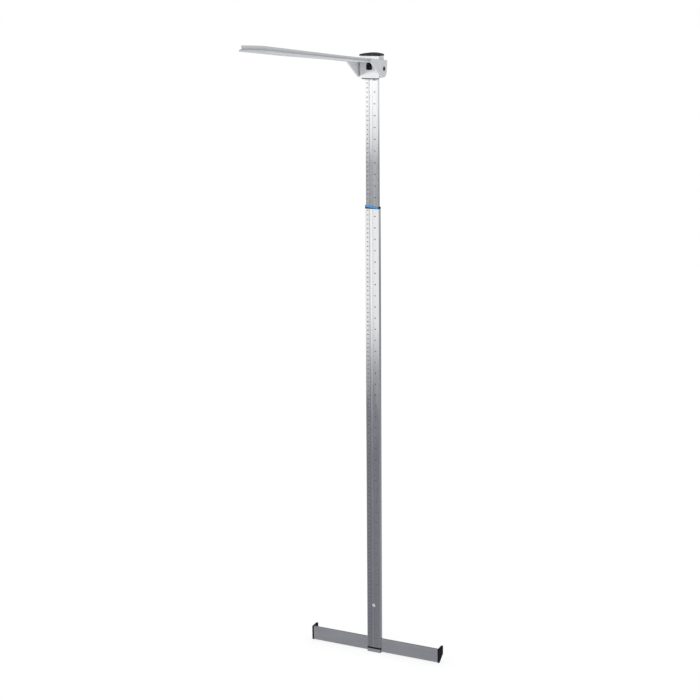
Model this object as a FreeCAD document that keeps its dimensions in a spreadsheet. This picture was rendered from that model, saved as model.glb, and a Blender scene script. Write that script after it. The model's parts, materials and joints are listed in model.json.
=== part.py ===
import FreeCAD, Part
import math
import os

import Sketcher
from FreeCAD import Placement, Rotation, Vector

# A telescopic height measuring rod with a fold-down head arm, in millimetres.
# X runs along the crossbar at the foot, the arm points to -Y, and +Z is up the mast.
# The origin is the middle of the mast's foot, on the plane the foot stands on.

SIZES = {
    # outer tube of the mast
    "tube_wide": 33.4,
    "tube_deep": 11.0,
    "tube_wall": 1.2,
    "tube_corner": 0.9,
    "tube_bottom": 12.6,
    "tube_top": 1053.2,
    "neck_bottom": 1050.7,
    "neck_step": 0.75,
    "notch_top": 35.3,
    # printed scale strips: foil let into the front of both tubes
    "strip_thick": 0.3,
    "rib_left": 4.3,
    "rib_right": 0.5,
    "outer_cm_edge": 14.6,
    "outer_inch_edge": 15.0,
    "outer_strip_bottom": 15.0,
    "inner_cm_edge": 12.9,
    "inner_inch_edge": 13.3,
    "inner_strip_bottom": 472.0,
    "inner_strip_top": 1356.0,
    # collar on the outer tube, with the reading strip in its front
    "collar_top_left": 1058.1,
    "collar_top_right": 1054.9,
    "collar_gap": 0.3,
    "reading_half": 15.4,
    "reading_high": 3.9,
    "reading_deep": 0.35,
    # brake leaf behind the inner tube
    "leaf_half": 8.0,
    "leaf_thick": 0.25,
    "leaf_bottom": 1002.0,
    "leaf_top": 1040.0,
    "leaf_rivet_radius": 1.5,
    "leaf_rivet_inset": 8.0,
    # hole for hanging the mast on a scale column
    "fixing_height": 118.0,
    "fixing_radius": 4.0,
    "sleeve_radius": 6.5,
    # crossbar and its end caps
    "bar_half": 159.5,
    "bar_front": -1.6,
    "bar_rear": 3.4,
    "bar_bottom": 2.0,
    "bar_top": 35.0,
    "bar_edge": 0.8,
    "cap_thick": 4.0,
    "cap_proud": 0.3,
    "cap_rear": 22.9,
    "cap_slope_top": 15.0,
    "cap_corner": 1.2,
    "lug_long": 18.0,
    "lug_rear": 7.4,
    "lug_inset": 5.0,
    "cap_screw_offset": 8.5,
    "cap_screw_spread": 5.5,
    "cap_screw_radius": 2.0,
    "cap_screw_head": 3.6,
    "cap_screw_head_high": 2.0,
    "cap_screw_bite": 4.0,
    # foot of the mast
    "plug_top": 8.0,
    "spigot_top": 16.0,
    "end_gap": 0.1,
    "gasket_inset": 0.3,
    "insert_bottom": 16.3,
    "insert_top": 62.0,
    "insert_gap": 0.05,
    "insert_rivet_height": 50.0,
    "insert_rivet_radius": 1.6,
    "insert_rivet_long": 5.0,
    "clamp_screw_offset": 9.0,
    "clamp_screw_height": 19.0,
    "clamp_screw_radius": 2.0,
    "clamp_screw_head": 3.9,
    "clamp_screw_end": -4.0,
    "fit_gap": 0.05,
    # cross-shaped driver recesses in the small screws
    "recess_reach": 1.4,
    "recess_half": 0.35,
    "recess_deep": 0.9,
    # inner tube
    "rod_wide": 30.2,
    "rod_deep": 7.8,
    "rod_wall": 1.1,
    "rod_corner": 0.7,
    "rod_bottom": 457.0,
    "rod_top": 1372.0,
    "glide_bottom": 447.0,
    "glide_half_wide": 15.3,
    "glide_half_deep": 4.1,
    "glide_spigot": 25.0,
    "rod_rivet_radius": 1.5,
    "rod_rivet_inset": 12.0,
    # block and domed cap on top of the inner tube
    "end_block_top": 1381.2,
    "dome_edge": 2.9,
    "dome_rise": 6.6,
    "dome_overhang": 0.8,
    "dome_corner": 3.0,
    "dome_round": 0.8,
    "dome_peg_offset": 16.0,
    "dome_peg_radius": 2.0,
    "dome_peg_long": 6.0,
    # head that slides on the mast
    "head_half": 23.6,
    "head_front": -15.4,
    "head_rear": 9.6,
    "head_split": 7.0,
    "head_bottom": 1334.1,
    "head_top": 1371.7,
    "head_corner": 2.0,
    "edge_bottom": 1331.9,
    "edge_half": 18.6,
    "head_foot_round": 4.8,
    "channel_half": 18.2,
    "channel_deep": 7.0,
    "liner_thick": 1.1,
    "liner_reach": 12.0,
    "liner_gap": 0.2,
    "cover_screw_offset": 20.9,
    "cover_screw_low": 1342.0,
    "cover_screw_high": 1365.5,
    "cover_screw_radius": 1.25,
    "cover_screw_head": 2.2,
    "cover_screw_head_deep": 1.2,
    "cover_screw_long": 8.0,
    # release button with its bezel and spring
    "button_half": 6.3,
    "button_bottom": 1352.0,
    "button_top": 1366.6,
    "button_front": -17.8,
    "button_rear": -11.2,
    "button_round": 4.5,
    "button_corner": 0.9,
    "button_lip": 0.5,
    "button_lip_front": -15.3,
    "button_lip_thick": 1.0,
    "button_gap": 0.2,
    "bezel_half": 10.5,
    "bezel_bottom": 1348.0,
    "bezel_top": 1369.0,
    "bezel_front": -16.3,
    "bezel_corner": 1.5,
    "pocket_half": 7.0,
    "pocket_bottom": 1351.3,
    "pocket_top": 1367.3,
    "pocket_rear": -8.2,
    "spring_seat_radius": 3.1,
    "spring_seat_deep": 3.0,
    "spring_radius": 2.3,
    "spring_wire": 0.35,
    "spring_turns": 4.0,
    # brake shoe in the head, pushed on the mast by a leaf
    "shoe_half": 5.0,
    "shoe_bottom": 1339.0,
    "shoe_top": 1346.0,
    "shoe_face": -5.9,
    "shoe_rear": -11.0,
    "shoe_gap": 0.1,
    "shoe_leaf_thick": 0.3,
    # pivot between the head and the arm
    "pivot_depth": -4.3,
    "pivot_height": 1354.0,
    "pivot_thread_radius": 2.5,
    "pivot_thread_inner": 18.6,
    "pivot_radius": 3.0,
    "pivot_head_radius": 4.4,
    "pivot_head_thick": 1.3,
    "pivot_socket_radius": 1.9,
    "pivot_socket_deep": 2.0,
    "pivot_gap": 0.1,
    "washer_radius": 6.0,
    "washer_thick": 1.0,
    "bush_clearance": 0.06,
    "bush_radius": 4.2,
    "bush_flange_radius": 6.5,
    "bush_flange_thick": 1.2,
    # arm, in its own frame: pivot at the origin, pointing to -Y
    "arm_rise_angle": 5.4,
    "arm_half": 29.25,
    "arm_long": 549.0,
    "arm_rear": 17.0,
    "arm_nose_radius": 23.5,
    "arm_rim_bottom": 11.3,
    "arm_rim_top": 18.8,
    "arm_tip_bottom": 9.6,
    "arm_tip_top": 20.7,
    "arm_rise_start": 200.0,
    "arm_drop_start": 180.0,
    "arm_drop_end": 350.0,
    "arm_rim_thick": 7.2,
    "arm_cheek_thick": 3.25,
    "arm_under_inset": 5.6,
    "arm_plate_bottom": 12.5,
    "arm_plate_top": 14.8,
    "groove_start": 70.0,
    "groove_lip_top": 12.3,
    "groove_middle": 14.8,
    "groove_deep": 4.9,
    "groove_inset": 3.5,
    "web_thick": 2.0,
    "stop_rear": 13.0,
    "stop_bottom": 14.8,
    "stop_top": 17.4,
    "cheek_rear": 16.0,
    "cheek_slope_front": 67.6,
    "cheek_slope_rear": 7.4,
    "cheek_bottom": -18.3,
    "cheek_heel_round": 15.0,
    "cheek_top_round": 3.0,
    "cheek_tip_round": 1.5,
}

doc = FreeCAD.newDocument("height_rod")
sheet = doc.addObject("Spreadsheet::Sheet", "sizes")


class Size:
    """A length that knows both its value and the sheet expression that gives it."""

    def __init__(self, value, text):
        self.value = value
        self.text = text

    def __add__(self, other):
        other = as_size(other)
        return Size(self.value + other.value, f"({self.text} + {other.text})")

    def __sub__(self, other):
        other = as_size(other)
        return Size(self.value - other.value, f"({self.text} - {other.text})")

    def __mul__(self, factor):
        factor = as_size(factor)
        return Size(self.value * factor.value, f"({self.text} * {factor.text})")

    def __truediv__(self, number):
        return Size(self.value / number, f"({self.text} / {number})")

    def __neg__(self):
        return self * -1


def as_size(number):
    if isinstance(number, Size):
        return number
    return Size(float(number), f"({float(number)})")


def fill_sheet():
    """Write every driving dimension into the sheet and return them as Sizes by name."""
    named = {}
    for row, (alias, value) in enumerate(SIZES.items(), start=1):
        sheet.set(f"A{row}", alias)
        sheet.set(f"B{row}", str(value))
        sheet.setAlias(f"B{row}", alias)
        named[alias] = Size(value, f"sizes.{alias}")
    doc.recompute()
    return named


S = fill_sheet()
parts = []


def keep(item, label):
    """Give a finished sub-part its own label and list it for export."""
    item.Label = label
    parts.append(item)
    return item


# A cut runs this far past the face it opens, so that no skin is left behind.
OVERCUT = 1.0

# Two places closer than this are the same place, and directions this near parallel match.
SAME_PLACE = 0.02
PARALLEL_COSINE = 0.999


# ---- PartDesign helpers -------------------------------------------------------------


def new_body(label):
    body = doc.addObject("PartDesign::Body", f"{label}_body")
    return keep(body, label)


def new_sketch(body, role, offset):
    """A sketch on one of the body's origin planes, offset along that plane's normal."""
    sketch = body.newObject("Sketcher::SketchObject", "outline")
    plane = [item for item in body.Origin.OriginFeatures if item.Role == role][0]
    sketch.AttachmentSupport = [(plane, "")]
    sketch.MapMode = "FlatFace"
    sketch.setExpression("AttachmentOffset.Base.z", as_size(offset).text)
    return sketch


def pin_point(sketch, geometry, vertex, point):
    """Fix one vertex of a sketch by its two distances from the sketch's origin."""
    for kind, distance in zip(("DistanceX", "DistanceY"), point):
        distance = as_size(distance)
        rule = Sketcher.Constraint(kind, -1, 1, geometry, vertex, distance.value)
        number = sketch.addConstraint(rule)
        sketch.setExpression(f"Constraints[{number}]", distance.text)


def hold_radius(sketch, geometry, radius):
    radius = as_size(radius)
    number = sketch.addConstraint(Sketcher.Constraint("Radius", geometry, radius.value))
    sketch.setExpression(f"Constraints[{number}]", radius.text)


def draw_polygon(sketch, corners):
    count = len(corners)
    places = [Vector(as_size(a).value, as_size(b).value, 0) for a, b in corners]
    first = sketch.GeometryCount
    for i in range(count):
        sketch.addGeometry(Part.LineSegment(places[i], places[(i + 1) % count]), False)
    for i in range(count):
        joint = Sketcher.Constraint("Coincident", first + i, 2, first + (i + 1) % count, 1)
        sketch.addConstraint(joint)
        pin_point(sketch, first + i, 1, corners[i])


def draw_circle(sketch, centre, radius):
    place = Vector(as_size(centre[0]).value, as_size(centre[1]).value, 0)
    circle = Part.Circle(place, Vector(0, 0, 1), as_size(radius).value)
    geometry = sketch.addGeometry(circle, False)
    pin_point(sketch, geometry, 3, centre)
    hold_radius(sketch, geometry, radius)


def rectangle(left, right, low, high):
    return [(left, low), (right, low), (right, high), (left, high)]


# The XZ plane's normal is -Y, so a length along Y starts from its far end there.
NORMAL_SIGN = {"XY_Plane": 1, "YZ_Plane": 1, "XZ_Plane": -1}


def start_plane(role, low, high, cutting):
    """Sketch offset from which a pad, or a pocket, covers low to high along the axis."""
    forwards = NORMAL_SIGN[role] > 0
    coordinate = as_size(low) if forwards != cutting else as_size(high)
    return coordinate if forwards else -coordinate


def pad(body, role, corners, low, high):
    """Add the outline's prism between two coordinates along the plane's axis."""
    sketch = new_sketch(body, role, start_plane(role, low, high, False))
    draw_polygon(sketch, corners)
    return pad_sketch(body, sketch, as_size(high) - low)


def pad_sketch(body, sketch, length):
    feature = body.newObject("PartDesign::Pad", "pad")
    feature.Profile = sketch
    feature.setExpression("Length", length.text)
    sketch.Visibility = False
    return feature


def pocket_sketch(body, sketch, length):
    """Cut the sketch's prism out of the body and make sure that something went."""
    doc.recompute()
    before = body.Shape.Volume
    feature = body.newObject("PartDesign::Pocket", "pocket")
    feature.Profile = sketch
    feature.setExpression("Length", length.text)
    sketch.Visibility = False
    doc.recompute()
    if body.Shape.Volume >= before:
        raise RuntimeError(f"a pocket in {body.Label} cut nothing")
    return feature


def pocket(body, role, corners, low, high):
    sketch = new_sketch(body, role, start_plane(role, low, high, True))
    draw_polygon(sketch, corners)
    return pocket_sketch(body, sketch, as_size(high) - low)


def bore(body, role, centre, radius, low, high):
    sketch = new_sketch(body, role, start_plane(role, low, high, True))
    draw_circle(sketch, centre, radius)
    return pocket_sketch(body, sketch, as_size(high) - low)


def lies_along(edge, axis):
    direction = edge.Vertexes[-1].Point - edge.Vertexes[0].Point
    return direction.Length > 0 and abs(direction.normalize().dot(axis)) > PARALLEL_COSINE


def round_edges(body, radius, axis, corners):
    """Fillet the edges along an axis that pass the given places across that axis."""
    doc.recompute()
    across = [k for k in range(3) if abs(axis[k]) < 0.5]
    places = [(as_size(a).value, as_size(b).value) for a, b in corners]
    chosen = []
    solid = body.Tip
    for number, edge in enumerate(solid.Shape.Edges, start=1):
        middle = edge.CenterOfMass
        spot = (middle[across[0]], middle[across[1]])
        near = any(math.dist(spot, place) < SAME_PLACE for place in places)
        if len(edge.Vertexes) == 2 and lies_along(edge, axis) and near:
            chosen.append(f"Edge{number}")
    add_fillet(body, solid, chosen, as_size(radius))


def add_fillet(body, solid, chosen, radius):
    feature = body.newObject("PartDesign::Fillet", "rounding")
    feature.Base = (solid, chosen)
    feature.setExpression("Radius", radius.text)
    doc.recompute()


X_AXIS = Vector(1, 0, 0)
Y_AXIS = Vector(0, 1, 0)
Z_AXIS = Vector(0, 0, 1)


def box_corners(half_wide, low, high):
    return [(side * half_wide.value, depth) for side in (-1, 1) for depth in (low, high)]


# ---- Part primitive helpers ---------------------------------------------------------

AXIS_TURN = {
    "X": Rotation(Y_AXIS, 90),
    "Y": Rotation(X_AXIS, -90),
    "Z": Rotation(Z_AXIS, 0),
}


def set_base(item, place):
    for letter, distance in zip("xyz", place):
        item.setExpression(f"Placement.Base.{letter}", as_size(distance).text)


def block(name, across, deep, up):
    """A Part::Box between three pairs of coordinates."""
    box = doc.addObject("Part::Box", name)
    for side, pair in zip(("Length", "Width", "Height"), (across, deep, up)):
        box.setExpression(side, (as_size(pair[1]) - pair[0]).text)
    set_base(box, (across[0], deep[0], up[0]))
    return box


def along(axis, centre, low):
    """The place on an axis, given the two coordinates across it and the one along it."""
    place = list(centre)
    place.insert("XYZ".index(axis), low)
    return place


def rod(name, axis, centre, low, high, radius):
    cylinder = doc.addObject("Part::Cylinder", name)
    cylinder.setExpression("Radius", as_size(radius).text)
    cylinder.setExpression("Height", (as_size(high) - low).text)
    cylinder.Placement = Placement(Vector(), AXIS_TURN[axis])
    set_base(cylinder, along(axis, centre, low))
    return cylinder


def cone(name, axis, centre, low, high, radius_low, radius_high):
    taper = doc.addObject("Part::Cone", name)
    taper.setExpression("Radius1", as_size(radius_low).text)
    taper.setExpression("Radius2", as_size(radius_high).text)
    taper.setExpression("Height", (as_size(high) - low).text)
    taper.Placement = Placement(Vector(), AXIS_TURN[axis])
    set_base(taper, along(axis, centre, low))
    return taper


def cut(name, base, tool):
    result = doc.addObject("Part::Cut", name)
    result.Base = base
    result.Tool = tool
    return result


def fuse(name, pieces):
    result = doc.addObject("Part::MultiFuse", name)
    result.Shapes = pieces
    return result


def ring(name, axis, centre, low, high, inner, outer):
    disc = rod(f"{name}_disc", axis, centre, low, high, outer)
    hole = rod(f"{name}_hole", axis, centre, low, high, inner)
    return cut(name, disc, hole)


def cross_recess(name, place, face):
    """A driver's cross cut into a face that looks to +Y."""
    across, up = place
    deep = (face - S["recess_deep"], face + OVERCUT)
    reach, half = S["recess_reach"], S["recess_half"]
    level = block(f"{name}_level", (across - reach, across + reach), deep, (up - half, up + half))
    upright = block(f"{name}_upright", (across - half, across + half), deep, (up - reach, up + reach))
    return fuse(name, [level, upright])


# ---- Mast: outer tube, collar, foot and crossbar ------------------------------------

tube_half = S["tube_wide"] / 2
tube_front = -S["tube_deep"] / 2
tube_rear = S["tube_deep"] / 2
cavity_half = tube_half - S["tube_wall"]
cavity_rear = tube_rear - S["tube_wall"]
insert_half = cavity_half - S["insert_gap"]
insert_rear = cavity_rear - S["insert_gap"]
OUTER_STRIPS = (
    ("cm_scale_outer", -S["outer_cm_edge"], -S["rib_left"]),
    ("inch_scale_outer", S["rib_right"], S["outer_inch_edge"]),
)
INNER_STRIPS = (
    ("cm_scale_inner", -S["inner_cm_edge"], -S["rib_left"]),
    ("inch_scale_inner", S["rib_right"], S["inner_inch_edge"]),
)


def hollow_tube(label, half, rear, wall, corner, bottom, top):
    """A flat rectangular tube with rounded corners, centred on the mast's axis."""
    body = new_body(label)
    pad(body, "XY_Plane", rectangle(-half, half, -rear, rear), bottom, top)
    round_edges(body, corner, Z_AXIS, box_corners(half, -rear, rear))
    inner_half = half - wall
    inner_rear = rear - wall
    cavity = rectangle(-inner_half, inner_half, -inner_rear, inner_rear)
    pocket(body, "XY_Plane", cavity, bottom, top)
    return body


def cut_strip_grooves(body, strips, front, bottom, top):
    for _, left, right in strips:
        groove = rectangle(left, right, front, front + S["strip_thick"])
        pocket(body, "XY_Plane", groove, bottom, top)


def make_outer_tube():
    wall, corner = S["tube_wall"], S["tube_corner"]
    bottom, top = S["tube_bottom"], S["tube_top"]
    body = hollow_tube("outer_tube", tube_half, tube_rear, wall, corner, bottom, top)
    cut_strip_grooves(body, OUTER_STRIPS, tube_front, bottom, S["neck_bottom"])
    step = S["neck_step"]
    neck = rectangle(-tube_half + step, tube_half - step, tube_front + step, tube_rear - step)
    sketch = new_sketch(body, "XY_Plane", top)
    draw_polygon(sketch, rectangle(-S["tube_wide"], S["tube_wide"], -S["tube_deep"], S["tube_deep"]))
    draw_polygon(sketch, neck)
    pocket_sketch(body, sketch, top - S["neck_bottom"])
    notch = rectangle(-S["tube_wide"], S["tube_wide"], bottom - OVERCUT, S["notch_top"])
    pocket(body, "XZ_Plane", notch, S["bar_front"], S["tube_deep"])
    front, rear = tube_front - OVERCUT, tube_rear + OVERCUT
    bore(body, "XZ_Plane", (0, S["fixing_height"]), S["fixing_radius"], front, rear)
    for side in (-1, 1):
        place = (S["clamp_screw_offset"] * side, S["insert_rivet_height"])
        bore(body, "XZ_Plane", place, S["insert_rivet_radius"], 0, rear)
    for height in leaf_rivet_heights():
        bore(body, "XZ_Plane", (0, height), S["leaf_rivet_radius"], 0, rear)


def leaf_rivet_heights():
    inset = S["leaf_rivet_inset"]
    return S["leaf_bottom"] + inset, S["leaf_top"] - inset


def make_strips(strips, front, bottom, top):
    for label, left, right in strips:
        body = new_body(label)
        outline = rectangle(left, right, front, front + S["strip_thick"])
        pad(body, "XY_Plane", outline, bottom, top)
        beside_hole = min(abs(left.value), abs(right.value)) > S["fixing_radius"].value
        if bottom.value < S["fixing_height"].value and not beside_hole:
            hole_front = front - OVERCUT
            hole_rear = front + S["tube_wall"]
            centre = (0, S["fixing_height"])
            bore(body, "XZ_Plane", centre, S["fixing_radius"], hole_front, hole_rear)


def inverse(size):
    return Size(1 / size.value, f"(1 / {size.text})")


def collar_top(across):
    """Height of the collar's top at a place across the tube: it slopes down to the right."""
    middle = (S["collar_top_left"] + S["collar_top_right"]) / 2
    slope = (S["collar_top_right"] - S["collar_top_left"]) * inverse(S["tube_wide"])
    return middle + slope * across


def reading_outline(rise):
    """The reading strip from the front, with its upper edge raised a little for cutting."""
    half, high = S["reading_half"], S["reading_high"]
    left, right = collar_top(-half), collar_top(half)
    return [(-half, left - high), (half, right - high), (half, right + rise), (-half, left + rise)]


def make_collar():
    body = new_body("collar")
    top = S["collar_top_left"]
    outline = rectangle(-tube_half, tube_half, tube_front, tube_rear)
    pad(body, "XY_Plane", outline, S["neck_bottom"], top)
    round_edges(body, S["tube_corner"], Z_AXIS, box_corners(tube_half, tube_front, tube_rear))
    step = S["neck_step"]
    socket = rectangle(-tube_half + step, tube_half - step, tube_front + step, tube_rear - step)
    pocket(body, "XY_Plane", socket, S["neck_bottom"], S["tube_top"])
    mouth_half = S["rod_wide"] / 2 + S["collar_gap"]
    mouth_rear = S["rod_deep"] / 2 + S["collar_gap"]
    mouth = rectangle(-mouth_half, mouth_half, -mouth_rear, mouth_rear)
    pocket(body, "XY_Plane", mouth, S["neck_bottom"], top)
    slope = [
        (-tube_half, collar_top(-tube_half)),
        (tube_half + OVERCUT, collar_top(tube_half + OVERCUT)),
        (tube_half + OVERCUT, top + OVERCUT),
        (-tube_half, top + OVERCUT),
    ]
    pocket(body, "XZ_Plane", slope, tube_front - OVERCUT, tube_rear + OVERCUT)
    front = tube_front + S["reading_deep"]
    pocket(body, "XZ_Plane", reading_outline(OVERCUT), tube_front, front)


def make_reading_strip():
    body = new_body("reading_strip")
    pad(body, "XZ_Plane", reading_outline(0), tube_front, tube_front + S["reading_deep"])


def make_friction_leaf():
    deep = (cavity_rear - S["leaf_thick"], cavity_rear)
    strip = block("leaf_strip", (-S["leaf_half"], S["leaf_half"]), deep, (S["leaf_bottom"], S["leaf_top"]))
    holes = []
    rivets = []
    for number, height in enumerate(leaf_rivet_heights()):
        centre = (0, height)
        holes.append(rod(f"leaf_hole_{number}", "Y", centre, 0, tube_rear, S["leaf_rivet_radius"]))
        radius = S["leaf_rivet_radius"] - S["fit_gap"]
        rivets.append(rod(f"leaf_rivet_{number}", "Y", centre, deep[0], tube_rear, radius))
    keep(cut("leaf", strip, fuse("leaf_holes", holes)), "friction_leaf")
    keep(fuse("leaf_rivet_pair", rivets), "leaf_rivets")


def make_fixing_sleeve():
    centre = (0, S["fixing_height"])
    sleeve = ring("sleeve", "Y", centre, -cavity_rear, cavity_rear, S["fixing_radius"], S["sleeve_radius"])
    keep(sleeve, "fixing_sleeve")


def make_crossbar():
    body = new_body("crossbar")
    outline = rectangle(S["bar_front"], S["bar_rear"], S["bar_bottom"], S["bar_top"])
    pad(body, "YZ_Plane", outline, -S["bar_half"], S["bar_half"])
    depths = (S["bar_front"], S["bar_rear"])
    edges = [(deep, up) for deep in depths for up in (S["bar_bottom"], S["bar_top"])]
    round_edges(body, S["bar_edge"], X_AXIS, edges)
    for side in (-1, 1):
        place = (S["clamp_screw_offset"] * side, S["clamp_screw_height"])
        front, rear = S["bar_front"] - OVERCUT, S["bar_rear"] + OVERCUT
        bore(body, "XZ_Plane", place, S["clamp_screw_radius"], front, rear)
        for place in cap_screw_places(side):
            depth = S["bar_rear"] - S["cap_screw_bite"]
            bore(body, "XZ_Plane", place, S["cap_screw_radius"], depth, S["bar_rear"])


def cap_screw_places(side):
    """Where one end cap's two screws enter the bar, as X and Z."""
    across = (S["bar_half"] - S["cap_screw_offset"]) * side
    middle = (S["bar_bottom"] + S["bar_top"]) / 2
    spread = S["cap_screw_spread"]
    return [(across, middle - spread), (across, middle + spread)]


def make_end_cap(label, side):
    """A side plate that spaces the bar off the column, with a lug screwed to the bar."""
    body = new_body(label)
    front = S["bar_front"] - S["cap_proud"]
    bottom = S["bar_bottom"] - S["cap_proud"]
    top = S["bar_top"] + S["cap_proud"]
    slope_top = (S["cap_rear"], S["cap_slope_top"])
    outline = [(front, bottom), (S["bar_rear"], bottom), slope_top, (S["cap_rear"], top), (front, top)]
    inner = S["bar_half"] * side
    outer = (S["bar_half"] + S["cap_thick"]) * side
    low, high = (inner, outer) if side > 0 else (outer, inner)
    pad(body, "YZ_Plane", outline, low, high)
    round_edges(body, S["cap_corner"], X_AXIS, [(S["cap_rear"], top), slope_top, (front, top)])
    lug = rectangle(
        S["bar_rear"], S["lug_rear"], S["bar_bottom"] + S["lug_inset"], S["bar_top"] - S["lug_inset"]
    )
    end = (S["bar_half"] - S["lug_long"]) * side
    low, high = (end, inner) if side > 0 else (inner, end)
    pad(body, "YZ_Plane", lug, low, high)
    for place in cap_screw_places(side):
        bore(body, "XZ_Plane", place, S["cap_screw_radius"], S["bar_rear"], S["lug_rear"])


def make_cap_screws():
    pieces = []
    recesses = []
    radius = S["cap_screw_radius"] - S["fit_gap"]
    for side in (-1, 1):
        for place in cap_screw_places(side):
            name = f"cap_screw_{len(pieces)}"
            tip = S["bar_rear"] - S["cap_screw_bite"] + S["end_gap"]
            pieces.append(rod(name, "Y", place, tip, S["lug_rear"], radius))
            end = S["lug_rear"] + S["cap_screw_head_high"]
            pieces.append(rod(f"{name}_head", "Y", place, S["lug_rear"], end, S["cap_screw_head"]))
            recesses.append(cross_recess(f"{name}_recess", place, end))
    keep(cut("cap_screw_set", fuse("cap_screw_rods", pieces), fuse("cap_recesses", recesses)), "cap_screws")


def make_foot_plug():
    body = new_body("foot_plug")
    rear = S["bar_front"] - S["end_gap"]
    sole = rectangle(-tube_half, tube_half, tube_front, tube_rear)
    pad(body, "XY_Plane", sole, 0, S["bar_bottom"])
    round_edges(body, S["tube_corner"], Z_AXIS, box_corners(tube_half, tube_front, tube_rear))
    front_part = rectangle(-tube_half, tube_half, tube_front, rear)
    pad(body, "XY_Plane", front_part, S["bar_bottom"], S["plug_top"])
    spigot = rectangle(-insert_half, insert_half, -insert_rear, rear)
    pad(body, "XY_Plane", spigot, S["plug_top"], S["spigot_top"])


def make_foot_gasket():
    inset = S["gasket_inset"]
    rear = S["bar_front"] - S["end_gap"]
    up = (S["plug_top"], S["tube_bottom"])
    wide = (-tube_half + inset, tube_half - inset)
    pad_block = block("gasket_block", wide, (tube_front + inset, rear), up)
    opening = block("gasket_opening", (-insert_half, insert_half), (-insert_rear, tube_rear), up)
    keep(cut("gasket", pad_block, opening), "foot_gasket")


def make_foot_insert():
    """The solid piece inside the tube's foot that the bar is screwed to."""
    body = new_body("foot_insert")
    tongue = rectangle(-insert_half, insert_half, -insert_rear, S["bar_front"])
    pad(body, "XY_Plane", tongue, S["insert_bottom"], S["notch_top"])
    head = rectangle(-insert_half, insert_half, -insert_rear, insert_rear)
    pad(body, "XY_Plane", head, S["notch_top"], S["insert_top"])
    for side in (-1, 1):
        place = (S["clamp_screw_offset"] * side, S["clamp_screw_height"])
        bore(body, "XZ_Plane", place, S["clamp_screw_radius"], -insert_rear, S["bar_front"])
        place = (S["clamp_screw_offset"] * side, S["insert_rivet_height"])
        depth = tube_rear - S["insert_rivet_long"]
        bore(body, "XZ_Plane", place, S["insert_rivet_radius"], depth, insert_rear)


def make_insert_rivets():
    pieces = []
    radius = S["insert_rivet_radius"] - S["fit_gap"]
    for side in (-1, 1):
        place = (S["clamp_screw_offset"] * side, S["insert_rivet_height"])
        start = tube_rear - S["insert_rivet_long"] + S["end_gap"]
        pieces.append(rod(f"insert_rivet_{side + 1}", "Y", place, start, tube_rear, radius))
    keep(fuse("insert_rivet_pair", pieces), "insert_rivets")


def make_clamp_plate():
    body = new_body("clamp_plate")
    face = rectangle(-tube_half, tube_half, S["bar_bottom"], S["notch_top"])
    pad(body, "XZ_Plane", face, S["bar_rear"], tube_rear)
    for side in (-1, 1):
        place = (S["clamp_screw_offset"] * side, S["clamp_screw_height"])
        bore(body, "XZ_Plane", place, S["clamp_screw_radius"], S["bar_rear"], tube_rear)


def make_clamp_screws():
    """Screws with tapered heads that draw the plate and the bar against the foot insert."""
    pieces = []
    recesses = []
    radius = S["clamp_screw_radius"] - S["fit_gap"]
    for side in (-1, 1):
        name = f"clamp_screw_{side + 1}"
        place = (S["clamp_screw_offset"] * side, S["clamp_screw_height"])
        pieces.append(rod(name, "Y", place, S["clamp_screw_end"], tube_rear, radius))
        end = tube_rear + S["cap_screw_head_high"]
        wide, narrow = S["clamp_screw_head"], S["cap_screw_radius"]
        head = cone(f"{name}_head", "Y", place, tube_rear, end, wide, narrow)
        pieces.append(head)
        recesses.append(cross_recess(f"{name}_recess", place, end))
    screws = cut("clamp_screw_pair", fuse("clamp_rods", pieces), fuse("clamp_recesses", recesses))
    keep(screws, "clamp_screws")


# ---- Inner rod ------------------------------------------------------------------------

rod_half = S["rod_wide"] / 2
rod_rear = S["rod_deep"] / 2
hollow_half = rod_half - S["rod_wall"] - S["insert_gap"]
hollow_rear = rod_rear - S["rod_wall"] - S["insert_gap"]
low_rivet = S["rod_bottom"] + S["rod_rivet_inset"]
high_rivet = S["rod_top"] - S["rod_rivet_inset"]


def make_inner_tube():
    wall, corner = S["rod_wall"], S["rod_corner"]
    bottom, top = S["rod_bottom"], S["rod_top"]
    body = hollow_tube("inner_tube", rod_half, rod_rear, wall, corner, bottom, top)
    cut_strip_grooves(body, INNER_STRIPS, -rod_rear, S["inner_strip_bottom"], S["inner_strip_top"])
    for height in (low_rivet, high_rivet):
        front, rear = -rod_rear - OVERCUT, rod_rear + OVERCUT
        bore(body, "XZ_Plane", (0, height), S["rod_rivet_radius"], front, rear)


def make_lower_glide():
    """The nylon foot of the inner tube, which steadies it inside the outer one."""
    body = new_body("lower_glide")
    half, rear = S["glide_half_wide"], S["glide_half_deep"]
    pad(body, "XY_Plane", rectangle(-half, half, -rear, rear), S["glide_bottom"], S["rod_bottom"])
    round_edges(body, S["rod_corner"], Z_AXIS, box_corners(half, -rear, rear))
    spigot = rectangle(-hollow_half, hollow_half, -hollow_rear, hollow_rear)
    pad(body, "XY_Plane", spigot, S["rod_bottom"], S["rod_bottom"] + S["glide_spigot"])
    bore(body, "XZ_Plane", (0, low_rivet), S["rod_rivet_radius"], -rod_rear, rod_rear)


def make_rod_rivets():
    radius = S["rod_rivet_radius"] - S["fit_gap"]
    for label, height in (("glide_rivet", low_rivet), ("end_block_rivet", high_rivet)):
        keep(rod(f"{label}_pin", "Y", (0, height), -rod_rear, rod_rear, radius), label)


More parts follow.
